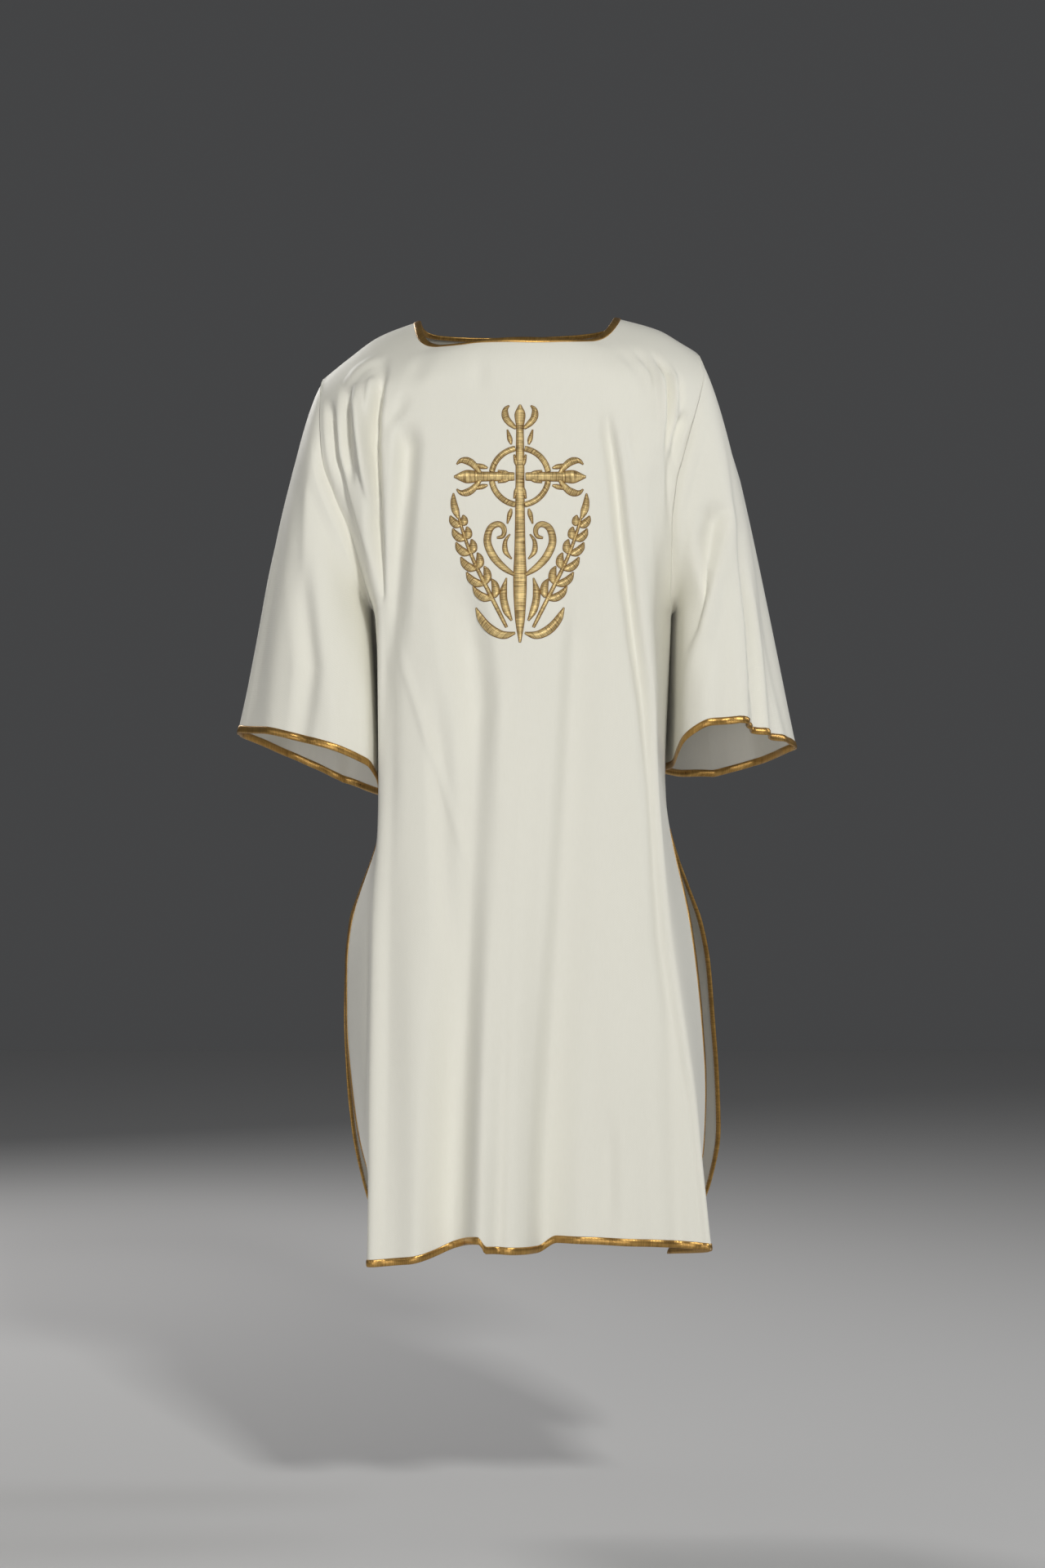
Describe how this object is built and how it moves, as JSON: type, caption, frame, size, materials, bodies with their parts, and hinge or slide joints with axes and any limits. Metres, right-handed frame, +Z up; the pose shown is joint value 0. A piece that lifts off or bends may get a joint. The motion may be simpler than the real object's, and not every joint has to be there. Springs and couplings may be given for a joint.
{
  "type": "dalmatic vestment",
  "caption": "Knee-length cream dalmatic worn open and hollow, with wide elbow sleeves, open side slits, a wide neck, gold bound edges and raised gold work on the chest.",
  "frame": {"origin": "middle of the line over the shoulders, where the garment rests on its wearer", "axes": "+Z up, the front faces -Y, +X is the wearer's left"},
  "size_m": [0.6892, 0.3715, 1.1463],
  "materials": {
    "cream_cloth": "fine plain weave, slight sheen",
    "gold_satin": "satin",
    "gold_thread": "satin stitch"
  },
  "bodies": {
    "root": {"front_panel": "cream_cloth", "back_panel": "cream_cloth", "left_sleeve": "cream_cloth", "right_sleeve": "cream_cloth", "front_neck_binding": "gold_satin", "back_neck_binding": "gold_satin", "left_cuff_binding": "gold_satin", "right_cuff_binding": "gold_satin", "front_hem_binding": "gold_satin", "back_hem_binding": "gold_satin", "front_left_slit_binding": "gold_satin", "front_right_slit_binding": "gold_satin", "back_left_slit_binding": "gold_satin", "back_right_slit_binding": "gold_satin", "emblem_stem": "gold_thread", "emblem_left_arm": "gold_thread", "emblem_right_arm": "gold_thread", "emblem_left_leaf": "gold_thread", "emblem_right_leaf": "gold_thread"}
  },
  "joints": []
}
